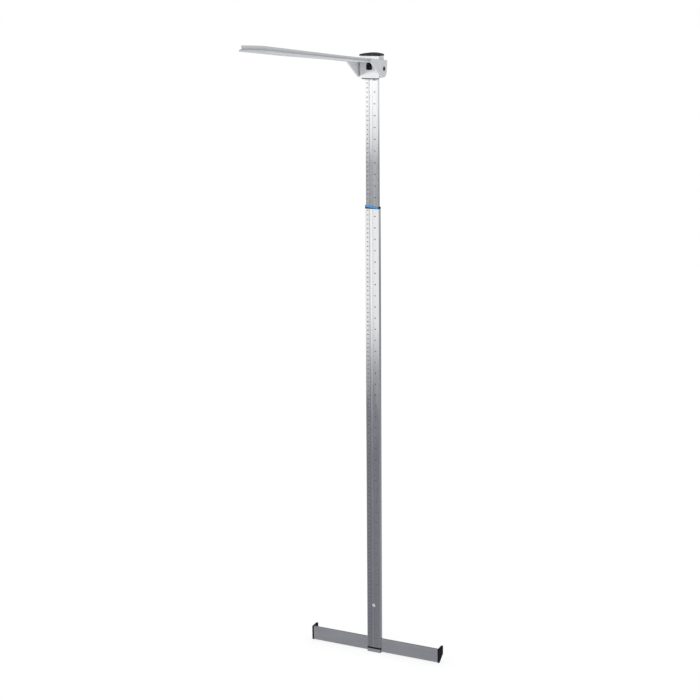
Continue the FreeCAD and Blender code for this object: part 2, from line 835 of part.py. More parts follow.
def make_rod_end_block():
    body = new_body("rod_end_block")
    half, front, rear = S["head_half"], S["head_front"], S["head_rear"]
    pad(body, "XY_Plane", rectangle(-half, half, front, rear), S["rod_top"], S["end_block_top"])
    round_edges(body, S["head_corner"], Z_AXIS, box_corners(half, front, rear))
    spigot = rectangle(-hollow_half, hollow_half, -hollow_rear, hollow_rear)
    pad(body, "XY_Plane", spigot, S["rod_top"] - S["glide_spigot"], S["rod_top"])
    bore(body, "XZ_Plane", (0, high_rivet), S["rod_rivet_radius"], -rod_rear, rod_rear)
    for side in (-1, 1):
        centre = (S["dome_peg_offset"] * side, 0)
        radius = S["dome_peg_radius"] + S["fit_gap"]
        low = S["end_block_top"] - S["dome_peg_long"] - S["end_gap"]
        bore(body, "XY_Plane", centre, radius, low, S["end_block_top"])


def draw_dome(sketch, half, base, edge, rise):
    """A low dome in outline: flat base, short upright ends and one arc over the top."""
    base_left = Vector(-half.value, base.value, 0)
    base_right = Vector(half.value, base.value, 0)
    left_top = base_left + Vector(0, edge.value, 0)
    right_top = base_right + Vector(0, edge.value, 0)
    crown = Vector(0, base.value + rise.value, 0)
    sketch.addGeometry(Part.LineSegment(base_left, base_right), False)
    sketch.addGeometry(Part.LineSegment(base_right, right_top), False)
    sketch.addGeometry(Part.Arc(right_top, crown, left_top), False)
    sketch.addGeometry(Part.LineSegment(left_top, base_left), False)
    for pair in ((0, 2, 1, 1), (1, 2, 2, 1), (2, 2, 3, 1), (3, 2, 0, 1)):
        sketch.addConstraint(Sketcher.Constraint("Coincident", *pair))
    pin_point(sketch, 0, 1, (-half, base))
    pin_point(sketch, 0, 2, (half, base))
    pin_point(sketch, 1, 2, (half, base + edge))
    pin_point(sketch, 2, 2, (-half, base + edge))
    sagitta = rise - edge
    hold_radius(sketch, 2, (half * half + sagitta * sagitta) * inverse(sagitta * 2))


def make_top_cap():
    body = new_body("top_cap")
    half = S["head_half"] + S["dome_overhang"]
    front = S["head_front"] - S["dome_overhang"]
    rear = S["head_rear"] + S["dome_overhang"]
    base = S["end_block_top"]
    sketch = new_sketch(body, "XZ_Plane", start_plane("XZ_Plane", front, rear, False))
    draw_dome(sketch, half, base, S["dome_edge"], S["dome_rise"])
    pad_sketch(body, sketch, rear - front)
    round_edges(body, S["dome_corner"], Z_AXIS, box_corners(half, front, rear))
    round_crown(body, base + S["dome_edge"])
    for side in (-1, 1):
        sketch = new_sketch(body, "XY_Plane", base - S["dome_peg_long"])
        draw_circle(sketch, (S["dome_peg_offset"] * side, 0), S["dome_peg_radius"])
        pad_sketch(body, sketch, S["dome_peg_long"])


def round_crown(body, rim_height):
    """Soften the closed edge where the dome meets its upright sides."""
    doc.recompute()
    chosen = []
    for number, edge in enumerate(body.Tip.Shape.Edges, start=1):
        if edge.BoundBox.ZMin > rim_height.value - SAME_PLACE:
            chosen.append(f"Edge{number}")
    add_fillet(body, body.Tip, chosen, S["dome_round"])


# ---- Head -----------------------------------------------------------------------------

head_half = S["head_half"]
channel = rectangle(-S["channel_half"], S["channel_half"], -S["channel_deep"], S["channel_deep"])
COVER_SCREWS = [
    (S["cover_screw_offset"] * side, height)
    for side in (-1, 1)
    for height in (S["cover_screw_low"], S["cover_screw_high"])
]
button_middle = (S["button_bottom"] + S["button_top"]) / 2


def round_foot(body, side, low, high):
    """Take one of the head's lower side edges off along an arc, between two depths."""
    sketch = new_sketch(body, "XZ_Plane", start_plane("XZ_Plane", low, high, True))
    radius = S["head_foot_round"]
    bottom = S["head_bottom"]
    inner, outer, beyond = (head_half - radius) * side, head_half * side, (head_half + OVERCUT) * side
    under, above = bottom - OVERCUT, bottom + radius
    corners = [(inner, bottom), (inner, under), (beyond, under), (beyond, above), (outer, above)]
    places = [Vector(a.value, b.value, 0) for a, b in corners]
    for i in range(4):
        sketch.addGeometry(Part.LineSegment(places[i], places[i + 1]), False)
        pin_point(sketch, i, 1, corners[i])
    for i in range(3):
        sketch.addConstraint(Sketcher.Constraint("Coincident", i, 2, i + 1, 1))
    pin_point(sketch, 3, 2, corners[4])
    circle = Part.Circle(Vector(inner.value, above.value, 0), Vector(0, 0, 1), radius.value)
    start = -math.pi / 2 if side > 0 else math.pi
    sketch.addGeometry(Part.ArcOfCircle(circle, start, start + math.pi / 2), False)
    at_bottom, at_side = (1, 2) if side > 0 else (2, 1)
    sketch.addConstraint(Sketcher.Constraint("Coincident", 4, at_bottom, 0, 1))
    sketch.addConstraint(Sketcher.Constraint("Coincident", 4, at_side, 3, 2))
    hold_radius(sketch, 4, radius)
    pocket_sketch(body, sketch, high - low)


def make_head_block():
    body = new_body("head_block")
    front, split = S["head_front"], S["head_split"]
    bottom, top = S["head_bottom"], S["head_top"]
    pad(body, "XY_Plane", rectangle(-head_half, head_half, front, split), bottom, top)
    round_edges(body, S["head_corner"], Z_AXIS, [(-head_half, front), (head_half, front)])
    for side in (-1, 1):
        round_foot(body, side, front, split)
    pocket(body, "XY_Plane", channel, bottom, top)
    half = S["pocket_half"]
    well = rectangle(-half, half, S["pocket_bottom"], S["pocket_top"])
    pocket(body, "XZ_Plane", well, front, S["pocket_rear"])
    gap = S["shoe_gap"]
    shoe_half = S["shoe_half"] + gap
    seat = rectangle(-shoe_half, shoe_half, S["shoe_bottom"] - gap, S["shoe_top"] + gap)
    pocket(body, "XZ_Plane", seat, S["shoe_rear"] - S["shoe_leaf_thick"], -S["channel_deep"])
    place = (S["pivot_depth"], S["pivot_height"])
    bore(body, "YZ_Plane", place, S["pivot_thread_radius"], -head_half, head_half)
    for place in COVER_SCREWS:
        depth = split - S["cover_screw_long"]
        bore(body, "XZ_Plane", place, S["cover_screw_radius"], depth, split)


def make_back_cover():
    body = new_body("back_cover")
    split, rear = S["head_split"], S["head_rear"]
    outline = rectangle(-head_half, head_half, split, rear)
    pad(body, "XY_Plane", outline, S["head_bottom"], S["head_top"])
    round_edges(body, S["head_corner"], Z_AXIS, [(-head_half, rear), (head_half, rear)])
    for side in (-1, 1):
        round_foot(body, side, split, rear)
    for place in COVER_SCREWS:
        bore(body, "XZ_Plane", place, S["cover_screw_radius"], split, rear)
        radius = S["cover_screw_head"] + S["fit_gap"]
        bore(body, "XZ_Plane", place, radius, rear - S["cover_screw_head_deep"], rear)


def make_cover_screws():
    pieces = []
    recesses = []
    rear = S["head_rear"] - S["end_gap"]
    radius = S["cover_screw_radius"] - S["fit_gap"]
    for number, place in enumerate(COVER_SCREWS):
        name = f"cover_screw_{number}"
        tip = S["head_split"] - S["cover_screw_long"] + S["end_gap"]
        seat = S["head_rear"] - S["cover_screw_head_deep"]
        pieces.append(rod(name, "Y", place, tip, seat, radius))
        pieces.append(rod(f"{name}_head", "Y", place, seat, rear, S["cover_screw_head"]))
        recesses.append(cross_recess(f"{name}_recess", place, rear))
    screws = cut("cover_screw_set", fuse("cover_rods", pieces), fuse("cover_recesses", recesses))
    keep(screws, "cover_screws")


def make_reading_edge():
    """The dark plate under the head whose lower edge is read against the scale."""
    body = new_body("reading_edge")
    half, front = S["edge_half"], S["head_front"]
    outline = rectangle(-half, half, front, -S["channel_deep"])
    pad(body, "XY_Plane", outline, S["edge_bottom"], S["head_bottom"])
    round_edges(body, S["head_corner"], Z_AXIS, [(-half, front), (half, front)])


def make_channel_liner(label, side):
    """A C-shaped nylon liner that runs along one edge of the outer tube."""
    body = new_body(label)
    thick = S["liner_thick"]
    outer_half, outer_rear = S["channel_half"], S["channel_deep"]
    inner_half, inner_rear = outer_half - thick, outer_rear - thick
    reach = S["liner_reach"]
    outline = [
        (reach * side, -outer_rear),
        (outer_half * side, -outer_rear),
        (outer_half * side, outer_rear),
        (reach * side, outer_rear),
        (reach * side, inner_rear),
        (inner_half * side, inner_rear),
        (inner_half * side, -inner_rear),
        (reach * side, -inner_rear),
    ]
    gap = S["liner_gap"]
    pad(body, "XY_Plane", outline, S["head_bottom"] + gap, S["head_top"] - gap)


def button_outline(gap):
    half = S["button_half"] + gap
    return rectangle(-half, half, S["button_bottom"] - gap, S["button_top"] + gap)


def round_button(body, gap):
    """Large roundings at the top corners and small ones at the bottom."""
    half = S["button_half"] + gap
    top = S["button_top"] + gap
    bottom = S["button_bottom"] - gap
    round_edges(body, S["button_round"] + gap, Y_AXIS, [(-half, top), (half, top)])
    round_edges(body, S["button_corner"] + gap, Y_AXIS, [(-half, bottom), (half, bottom)])


def make_button_bezel():
    body = new_body("button_bezel")
    half = S["bezel_half"]
    bottom, top = S["bezel_bottom"], S["bezel_top"]
    front, rear = S["bezel_front"], S["head_front"]
    pad(body, "XZ_Plane", rectangle(-half, half, bottom, top), front, rear)
    corners = [(side * half.value, up) for side in (-1, 1) for up in (bottom, top)]
    round_edges(body, S["bezel_corner"], Y_AXIS, corners)
    gap = S["button_gap"]
    pocket(body, "XZ_Plane", button_outline(gap), front, rear)
    round_button(body, gap)


def make_release_button():
    body = new_body("release_button")
    gap = as_size(0)
    pad(body, "XZ_Plane", button_outline(gap), S["button_front"], S["button_rear"])
    round_button(body, gap)
    lip_front = S["button_lip_front"]
    lip_rear = lip_front + S["button_lip_thick"]
    pad(body, "XZ_Plane", button_outline(S["button_lip"]), lip_front, lip_rear)
    seat_front = S["button_rear"] - S["spring_seat_deep"]
    centre = (0, button_middle)
    bore(body, "XZ_Plane", centre, S["spring_seat_radius"], seat_front, S["button_rear"])


def make_button_spring():
    """A coil spring along Y between the button's seat and the bottom of its pocket."""
    body = new_body("button_spring")
    wire = S["spring_wire"]
    start = S["button_rear"] - S["spring_seat_deep"] + wire
    sketch = new_sketch(body, "XY_Plane", button_middle)
    draw_circle(sketch, (S["spring_radius"], start), wire)
    coil = body.newObject("PartDesign::AdditiveHelix", "coil")
    coil.Profile = sketch
    coil.ReferenceAxis = (sketch, ["V_Axis"])
    coil.Mode = "height-turns-angle"
    height = S["pocket_rear"] - wire - start
    coil.setExpression("Height", height.text)
    coil.setExpression("Turns", S["spring_turns"].text)
    sketch.Visibility = False


def make_brake():
    half = S["shoe_half"]
    up = (S["shoe_bottom"], S["shoe_top"])
    keep(block("shoe", (-half, half), (S["shoe_rear"], S["shoe_face"]), up), "brake_shoe")
    deep = (S["shoe_rear"] - S["shoe_leaf_thick"], S["shoe_rear"])
    keep(block("shoe_leaf", (-half, half), deep, up), "brake_leaf")


# ---- Pivot and arm ----------------------------------------------------------------------

cheek_inner = S["arm_half"] - S["arm_cheek_thick"]
PIVOT = (S["pivot_depth"], S["pivot_height"])


def sided_rod(name, side, near, far, radius):
    """A cylinder on the pivot's axis from near to far, measured out from the middle."""
    low, high = (near, far) if side > 0 else (-far, -near)
    return rod(name, "X", PIVOT, low, high, radius)


def sided_ring(name, side, near, far, inner, outer):
    low, high = (near, far) if side > 0 else (-far, -near)
    return ring(name, "X", PIVOT, low, high, inner, outer)


def sided_socket(name, side, near, far, radius):
    """A six-sided key socket on the pivot's axis."""
    prism = doc.addObject("Part::Prism", name)
    prism.Polygon = 6
    prism.setExpression("Circumradius", radius.text)
    prism.setExpression("Height", (far - near).text)
    prism.Placement = Placement(Vector(), AXIS_TURN["X"])
    set_base(prism, along("X", PIVOT, near if side > 0 else -far))
    return prism


def make_pivot(side_name, side):
    """One side of the arm's hinge: shoulder screw, spring washer and flanged bush."""
    shoulder_end = S["arm_half"] + S["pivot_gap"]
    head_end = shoulder_end + S["pivot_head_thick"]
    thread_radius = S["pivot_thread_radius"] - S["fit_gap"]
    shaft = fuse(
        f"shaft_{side_name}",
        [
            sided_rod(f"thread_{side_name}", side, S["pivot_thread_inner"], head_half, thread_radius),
            sided_rod(f"shoulder_{side_name}", side, head_half, shoulder_end, S["pivot_radius"]),
            sided_rod(f"head_{side_name}", side, shoulder_end, head_end, S["pivot_head_radius"]),
        ],
    )
    bottom, radius = head_end - S["pivot_socket_deep"], S["pivot_socket_radius"]
    socket = sided_socket(f"socket_{side_name}", side, bottom, head_end + OVERCUT, radius)
    keep(cut(f"screw_{side_name}", shaft, socket), f"pivot_screw_{side_name}")
    hole = S["pivot_radius"] + S["bush_clearance"]
    washer_end = head_half + S["pivot_gap"] + S["washer_thick"]
    washer = sided_ring(
        f"washer_{side_name}", side, head_half + S["pivot_gap"], washer_end, hole, S["washer_radius"]
    )
    keep(washer, f"spring_washer_{side_name}")
    flange = sided_ring(
        f"flange_{side_name}", side, cheek_inner - S["bush_flange_thick"], cheek_inner, hole,
        S["bush_flange_radius"],
    )
    barrel = sided_ring(f"barrel_{side_name}", side, cheek_inner, S["arm_half"], hole, S["bush_radius"])
    keep(fuse(f"bush_{side_name}", [flange, barrel]), f"pivot_bush_{side_name}")


def draw_tongue(sketch, half, rear, tip, nose, closed):
    """The arm in plan: straight sides, two large corner arcs and a short straight front.

    Every distance is forwards from the pivot, which is -Y in the sketch.
    """
    start, flat = tip - nose, half - nose
    up = Vector(0, 0, 1)
    turn = math.pi / 2
    right_circle = Part.Circle(Vector(flat.value, -start.value, 0), up, nose.value)
    left_circle = Part.Circle(Vector(-flat.value, -start.value, 0), up, nose.value)
    right_side = Part.LineSegment(Vector(half.value, -rear.value, 0), Vector(half.value, -start.value, 0))
    right_arc = Part.ArcOfCircle(right_circle, -turn, 0)
    front = Part.LineSegment(Vector(flat.value, -tip.value, 0), Vector(-flat.value, -tip.value, 0))
    left_arc = Part.ArcOfCircle(left_circle, math.pi, math.pi + turn)
    left_side = Part.LineSegment(Vector(-half.value, -start.value, 0), Vector(-half.value, -rear.value, 0))
    for curve in (right_side, right_arc, front, left_arc, left_side):
        sketch.addGeometry(curve, False)
    for pair in ((0, 2, 1, 2), (1, 1, 2, 1), (2, 2, 3, 2), (3, 1, 4, 1)):
        sketch.addConstraint(Sketcher.Constraint("Tangent", *pair))
    pin_point(sketch, 0, 1, (half, -rear))
    pin_point(sketch, 0, 2, (half, -start))
    pin_point(sketch, 4, 1, (-half, -start))
    pin_point(sketch, 4, 2, (-half, -rear))
    hold_radius(sketch, 1, nose)
    hold_radius(sketch, 3, nose)
    if closed:
        last = Part.LineSegment(Vector(-half.value, -rear.value, 0), Vector(half.value, -rear.value, 0))
        sketch.addGeometry(last, False)
        sketch.addConstraint(Sketcher.Constraint("Coincident", 4, 2, 5, 1))
        sketch.addConstraint(Sketcher.Constraint("Coincident", 5, 2, 0, 1))


def tongue_sketch(body, height, inset, rear, closed):
    sketch = new_sketch(body, "XY_Plane", height)
    half = S["arm_half"] - inset
    tip = S["arm_long"] - inset
    nose = S["arm_nose_radius"] - inset
    draw_tongue(sketch, half, rear, tip, nose, closed)
    return sketch


def cut_side_groove(body):
    """A shallow groove round the rim, under which the lower lip stands proud."""
    start = S["groove_start"]
    path = tongue_sketch(body, 0, as_size(0), start, False)
    profile = new_sketch(body, "XZ_Plane", start)
    face = S["arm_half"]
    top = S["arm_tip_top"] + OVERCUT
    corners = [
        (face + OVERCUT, S["groove_lip_top"]),
        (face, S["groove_lip_top"]),
        (face - S["groove_deep"], S["groove_middle"]),
        (face - S["groove_inset"], S["arm_tip_top"]),
        (face - S["groove_inset"], top),
        (face + OVERCUT, top),
    ]
    draw_polygon(profile, corners)
    doc.recompute()
    before = body.Shape.Volume
    groove = body.newObject("PartDesign::SubtractivePipe", "side_groove")
    groove.Profile = profile
    groove.Spine = (path, [f"Edge{number}" for number in range(1, 6)])
    doc.recompute()
    if body.Shape.Volume >= before:
        raise RuntimeError("the arm's side groove cut nothing")


def add_cheek(body, side):
    """One side of the fork that straddles the head, seen as forwards and up."""
    rear = S["cheek_rear"]
    top, bottom = S["arm_rim_top"], S["cheek_bottom"]
    outline = [
        (rear, top),
        (rear, bottom),
        (-S["cheek_slope_rear"], bottom),
        (-S["cheek_slope_front"], S["arm_rim_bottom"]),
        (-S["cheek_slope_front"], top),
    ]
    near, far = cheek_inner, S["arm_half"]
    low, high = (near, far) if side > 0 else (-far, -near)
    pad(body, "YZ_Plane", outline, low, high)


def make_head_arm():
    """A straight tray with an upstanding rim, on a fork that straddles the head."""
    body = new_body("head_arm")
    rim_bottom, rim_top = S["arm_rim_bottom"], S["arm_rim_top"]
    tip_bottom, tip_top = S["arm_tip_bottom"], S["arm_tip_top"]
    rear = S["arm_rear"]
    behind = rear - OVERCUT
    flat = as_size(0)
    pad_sketch(body, tongue_sketch(body, tip_bottom, flat, rear, True), tip_top - tip_bottom)
    above = [
        (-behind, rim_top),
        (-S["arm_rise_start"], rim_top),
        (-S["arm_long"], tip_top),
        (-S["arm_long"], tip_top + OVERCUT),
        (-behind, tip_top + OVERCUT),
    ]
    below = [
        (-behind, rim_bottom),
        (-S["arm_drop_start"], rim_bottom),
        (-S["arm_drop_end"], tip_bottom),
        (-S["arm_drop_end"], tip_bottom - OVERCUT),
        (-behind, tip_bottom - OVERCUT),
    ]
    for outline in (above, below):
        pocket(body, "YZ_Plane", outline, -S["arm_half"] - OVERCUT, S["arm_half"] + OVERCUT)
    cut_side_groove(body)
    tray = tongue_sketch(body, tip_top, S["arm_rim_thick"], behind, True)
    pocket_sketch(body, tray, tip_top - S["arm_plate_top"])
    under = tongue_sketch(body, S["arm_plate_bottom"], S["arm_under_inset"], behind, True)
    pocket_sketch(body, under, S["arm_plate_bottom"] - tip_bottom)
    for side in (-1, 1):
        add_cheek(body, side)
    heel = (S["cheek_rear"], S["cheek_bottom"])
    round_edges(body, S["cheek_heel_round"], X_AXIS, [heel])
    round_edges(body, S["cheek_top_round"], X_AXIS, [(S["cheek_rear"], rim_top)])
    round_edges(body, S["cheek_tip_round"], X_AXIS, [(-S["cheek_slope_rear"], S["cheek_bottom"])])
    web_front = -rear - S["web_thick"]
    stop = rectangle(web_front, -S["stop_rear"], S["stop_bottom"], S["stop_top"])
    pad(body, "YZ_Plane", stop, -cheek_inner, cheek_inner)
    web = rectangle(web_front, -rear, S["arm_plate_bottom"], S["stop_top"])
    pad(body, "YZ_Plane", web, -cheek_inner, cheek_inner)
    bush_hole = S["bush_radius"] + S["fit_gap"]
    bore(body, "YZ_Plane", (0, 0), bush_hole, -S["arm_half"], S["arm_half"])
    turn = Rotation(X_AXIS, -S["arm_rise_angle"].value)
    body.Placement = Placement(Vector(), turn)
    set_base(body, (0, *PIVOT))


# ---- Build, check and write -------------------------------------------------------------


def build():
    make_outer_tube()
    make_strips(OUTER_STRIPS, tube_front, S["outer_strip_bottom"], S["neck_bottom"])
    make_collar()
    make_reading_strip()
    make_friction_leaf()
    make_fixing_sleeve()
    make_crossbar()
    make_end_cap("end_cap_left", -1)
    make_end_cap("end_cap_right", 1)
    make_cap_screws()
    make_foot_plug()
    make_foot_gasket()
    make_foot_insert()
    make_insert_rivets()
    make_clamp_plate()
    make_clamp_screws()
    make_inner_tube()
    make_strips(INNER_STRIPS, -rod_rear, S["inner_strip_bottom"], S["inner_strip_top"])
    make_lower_glide()
    make_rod_rivets()
    make_rod_end_block()
    make_top_cap()
    make_head_block()
    make_back_cover()
    make_cover_screws()
    make_reading_edge()
    make_channel_liner("channel_liner_left", -1)
    make_channel_liner("channel_liner_right", 1)
    make_button_bezel()
    make_release_button()
    make_button_spring()
    make_brake()
    make_pivot("left", -1)
    make_pivot("right", 1)
    make_head_arm()
    doc.recompute()


def check():
    for item in doc.Objects:
        bad = {"Invalid", "Error"} & set(item.State)
        if bad:
            raise RuntimeError(f"{item.Label} is {sorted(bad)}")
    for part in parts:
        if part.Shape.isNull() or not part.Shape.isValid() or not part.Shape.Solids:
            raise RuntimeError(f"{part.Label} has no valid solid")


def write():
    os.makedirs("parts", exist_ok=True)
    for part in parts:
        part.Shape.exportStep(f"parts/{part.Label}.step")
        box = part.Shape.BoundBox
        span = f"X {box.XMin:.1f}..{box.XMax:.1f}  Y {box.YMin:.1f}..{box.YMax:.1f}"
        print(f"{part.Label}: {len(part.Shape.Solids)} solid(s), {span}  Z {box.ZMin:.1f}..{box.ZMax:.1f}")


build()
check()
write()
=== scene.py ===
import json
import math

import bpy
from mathutils import Matrix, Vector


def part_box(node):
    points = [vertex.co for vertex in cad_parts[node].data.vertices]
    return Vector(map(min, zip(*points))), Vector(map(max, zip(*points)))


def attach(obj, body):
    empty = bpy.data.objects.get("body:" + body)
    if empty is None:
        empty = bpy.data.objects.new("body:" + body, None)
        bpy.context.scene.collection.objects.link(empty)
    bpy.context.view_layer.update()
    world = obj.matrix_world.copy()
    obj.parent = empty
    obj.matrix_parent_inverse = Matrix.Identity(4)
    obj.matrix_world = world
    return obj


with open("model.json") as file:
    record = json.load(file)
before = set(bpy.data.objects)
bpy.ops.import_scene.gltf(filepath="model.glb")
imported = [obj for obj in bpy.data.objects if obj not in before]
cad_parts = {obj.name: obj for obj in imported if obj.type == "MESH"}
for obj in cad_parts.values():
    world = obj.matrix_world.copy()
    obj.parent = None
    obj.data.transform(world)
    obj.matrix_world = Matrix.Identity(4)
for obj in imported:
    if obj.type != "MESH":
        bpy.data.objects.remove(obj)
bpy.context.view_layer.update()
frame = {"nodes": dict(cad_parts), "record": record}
NODES = frame["nodes"]
MM = 0.001
INCH = 0.0254


# ---- Shader helpers ---------------------------------------------------------

# A mix node's sockets for each kind of value: factor, first and second, and the result.
MIX_SOCKETS = {"FLOAT": ((0, 2, 3), 0), "RGBA": ((0, 6, 7), 2)}

# An edge is where the rounded normal leaves the true one by cosines between these.
EDGE_COSINES = (0.80, 0.99)


def link_or_fill(tree, socket, value):
    """Link a node's output to the input, or set the input to a constant."""
    if isinstance(value, bpy.types.NodeSocket):
        tree.links.new(value, socket)
    else:
        socket.default_value = value


def node(tree, kind, inputs=None, **settings):
    """Add a node, set its properties and link or fill its inputs."""
    made = tree.nodes.new(kind)
    for name, value in settings.items():
        setattr(made, name, value)
    for name, value in (inputs or {}).items():
        link_or_fill(tree, made.inputs[name], value)
    return made


def new_material(name):
    material = bpy.data.materials.new(name)
    material.use_nodes = True
    tree = material.node_tree
    return material, tree, tree.nodes["Principled BSDF"]


def place_of(tree):
    """Where on its body the shaded point is, in metres."""
    return node(tree, "ShaderNodeTexCoord").outputs["Object"]


def noise(tree, place, cells, detail=3.0):
    """Noise of so many cells a metre along X, Y and Z, about a half on average."""
    stretched = node(tree, "ShaderNodeMapping", {"Vector": place, "Scale": cells})
    inputs = {"Vector": stretched.outputs[0], "Scale": 1.0, "Detail": detail}
    return node(tree, "ShaderNodeTexNoise", inputs).outputs["Fac"]


def remap(tree, value, low, high, start=0.3, end=0.7, kind="LINEAR"):
    """Low up to start, high from end on, and a ramp between them."""
    inputs = {
        "Value": value,
        "From Min": start,
        "From Max": end,
        "To Min": low,
        "To Max": high,
    }
    return node(tree, "ShaderNodeMapRange", inputs, interpolation_type=kind).outputs[0]


def blend(tree, factor, first, second, kind="RGBA"):
    """From the first colour or number to the second as the factor rises."""
    made = node(tree, "ShaderNodeMix", data_type=kind)
    inputs, result = MIX_SOCKETS[kind]
    for number, value in zip(inputs, (factor, first, second)):
        link_or_fill(tree, made.inputs[number], value)
    return made.outputs[result]


def tint(colour, amount):
    """The colour made darker or lighter, with an alpha of one."""
    return (*[min(1.0, c * amount) for c in colour], 1.0)


def math_node(tree, operation, first, second=0.0):
    made = node(tree, "ShaderNodeMath", operation=operation)
    for number, value in enumerate((first, second)):
        link_or_fill(tree, made.inputs[number], value)
    return made.outputs[0]


def product(tree, *factors):
    total = factors[0]
    for factor in factors[1:]:
        total = math_node(tree, "MULTIPLY", total, factor)
    return total


def soft_edges(tree, radius):
    """The surface's normal, rounded over near its sharp edges."""
    return node(tree, "ShaderNodeBevel", {"Radius": radius}, samples=4).outputs[0]


def dot(tree, first, second):
    made = node(tree, "ShaderNodeVectorMath", operation="DOT_PRODUCT")
    for number, value in enumerate((first, second)):
        link_or_fill(tree, made.inputs[number], value)
    return made.outputs["Value"]


def edge_mask(tree, rounded):
    """One along the sharp edges, where use scuffs them, nought elsewhere."""
    flat = node(tree, "ShaderNodeNewGeometry").outputs["Normal"]
    return remap(tree, dot(tree, rounded, flat), 1.0, 0.0, *EDGE_COSINES)


# ---- Materials --------------------------------------------------------------

# Noise cells a metre: for metal across the grain and along it.
GRAIN_CELLS = (2200.0, 16.0)
CLOUD_CELLS = (70.0, 9.0)
FLOW_CELLS = 35.0
INK_CELLS = 1500.0
FLOOR_CELLS = 3.0

GRAIN_DEEP = 0.004 * MM
PEBBLE = 0.35 * MM
PEBBLE_DEEP = 0.012 * MM
MOULDED_EDGE = 0.5 * MM
SCUFFED_SHARE = 0.6


def grained(cells, grain):
    """Noise cells that are drawn out along the grain's axis."""
    across, along = cells
    return [along if axis == grain else across for axis in "XYZ"]


def drawn_metal(name, colour, rough, grain, bow=None, edge=0.25 * MM):
    """Satin anodised or plated metal with a fine drawn grain along one axis."""
    material, tree, shader = new_material(name)
    place = place_of(tree)
    lines = noise(tree, place, grained(GRAIN_CELLS, grain))
    cloud = noise(tree, place, grained(CLOUD_CELLS, grain))
    base = blend(tree, cloud, tint(colour, 0.93), tint(colour, 1.05))
    base = blend(tree, remap(tree, lines, 0.0, 0.35), base, tint(colour, 0.80))
    tree.links.new(base, shader.inputs["Base Color"])
    shader.inputs["Metallic"].default_value = 1.0
    spread = math_node(
        tree,
        "ADD",
        remap(tree, lines, rough - 0.04, rough + 0.05),
        remap(tree, cloud, -0.02, 0.03),
    )
    tree.links.new(spread, shader.inputs["Roughness"])
    inputs = {"Height": lines, "Distance": GRAIN_DEEP, "Normal": soft_edges(tree, edge)}
    normal = node(tree, "ShaderNodeBump", inputs).outputs[0]
    if bow is not None:
        normal = bowed(tree, place, normal, *bow)
    tree.links.new(normal, shader.inputs["Normal"])
    return material


def height_of(tree, vector):
    return node(tree, "ShaderNodeSeparateXYZ", {"Vector": vector}).outputs["Z"]


def bowed(tree, place, normal, top, low, slope):
    """The drawn section's slight bow: the surface leans more and more from top to low."""
    height = height_of(tree, place)
    share = remap(tree, height, 0.0, 1.0, top, low)
    gathered = math_node(tree, "POWER", share, 2.0)
    fall = product(tree, gathered, slope * (top - low) / 2)
    beyond = math_node(tree, "MAXIMUM", math_node(tree, "SUBTRACT", low, height), 0.0)
    fall = math_node(tree, "ADD", fall, product(tree, beyond, slope))
    inputs = {"Height": product(tree, fall, -1.0), "Distance": 1.0, "Normal": normal}
    return node(tree, "ShaderNodeBump", inputs).outputs[0]


def moulded(name, colour, rough, specular=0.4, wear=1.25):
    """Injection-moulded plastic: a fine spark-eroded texture and faintly scuffed edges."""
    material, tree, shader = new_material(name)
    place = place_of(tree)
    grain = noise(tree, place, [1.0 / PEBBLE] * 3, 4.0)
    flow = noise(tree, place, [FLOW_CELLS] * 3)
    rounded = soft_edges(tree, MOULDED_EDGE)
    base = blend(tree, flow, tint(colour, 0.94), tint(colour, 1.05))
    base = blend(tree, remap(tree, grain, 0.0, 0.25), base, tint(colour, 0.86))
    edges = product(tree, edge_mask(tree, rounded), SCUFFED_SHARE)
    base = blend(tree, edges, base, tint(colour, wear))
    tree.links.new(base, shader.inputs["Base Color"])
    spread = math_node(
        tree,
        "ADD",
        remap(tree, grain, rough - 0.05, rough + 0.06),
        remap(tree, flow, -0.03, 0.04),
    )
    tree.links.new(spread, shader.inputs["Roughness"])
    shader.inputs["Specular IOR Level"].default_value = specular
    inputs = {"Height": grain, "Distance": PEBBLE_DEEP, "Normal": rounded}
    pebbled = node(tree, "ShaderNodeBump", inputs).outputs[0]
    tree.links.new(pebbled, shader.inputs["Normal"])
    return material


def ink(name, colour):
    """Printed ink: slightly uneven cover, with a soft sheen."""
    material, tree, shader = new_material(name)
    place = place_of(tree)
    cover = noise(tree, place, [INK_CELLS] * 3)
    base = blend(tree, cover, tint(colour, 0.8), tint(colour, 1.3))
    tree.links.new(base, shader.inputs["Base Color"])
    tree.links.new(remap(tree, cover, 0.38, 0.55), shader.inputs["Roughness"])
    return material


SILVER = (0.86, 0.86, 0.855)
FOIL = (0.76, 0.765, 0.775)
INCH_FOIL = tint(FOIL, 1.02)[:3]

# The inner tube's bow starts at the first height, in metres, and is full from the second
# one down, where the surface leans by this slope.
BOW = (1.275, 1.15, 0.090)

# Colour, roughness and axis of the grain, then the bow and the edges' radius if any.
METALS = {
    "anodised_tube": (SILVER, 0.09, "Z"),
    "anodised_rod": (SILVER, 0.20, "Z", BOW),
    "anodised_bar": ((0.70, 0.705, 0.72), 0.32, "X", None, 0.1 * MM),
    "cm_print": (FOIL, 0.09, "Z"),
    "inch_print": (INCH_FOIL, 0.09, "Z"),
    "steel": ((0.60, 0.60, 0.61), 0.30, "Y"),
    "dark_steel": ((0.045, 0.045, 0.052), 0.42, "X"),
    "spring_steel": ((0.55, 0.55, 0.56), 0.25, "Y"),
    "cast_insert": ((0.60, 0.60, 0.61), 0.40, "Y"),
    "cm_print_inner": (FOIL, 0.24, "Z", BOW),
    "inch_print_inner": (INCH_FOIL, 0.24, "Z", BOW),
}

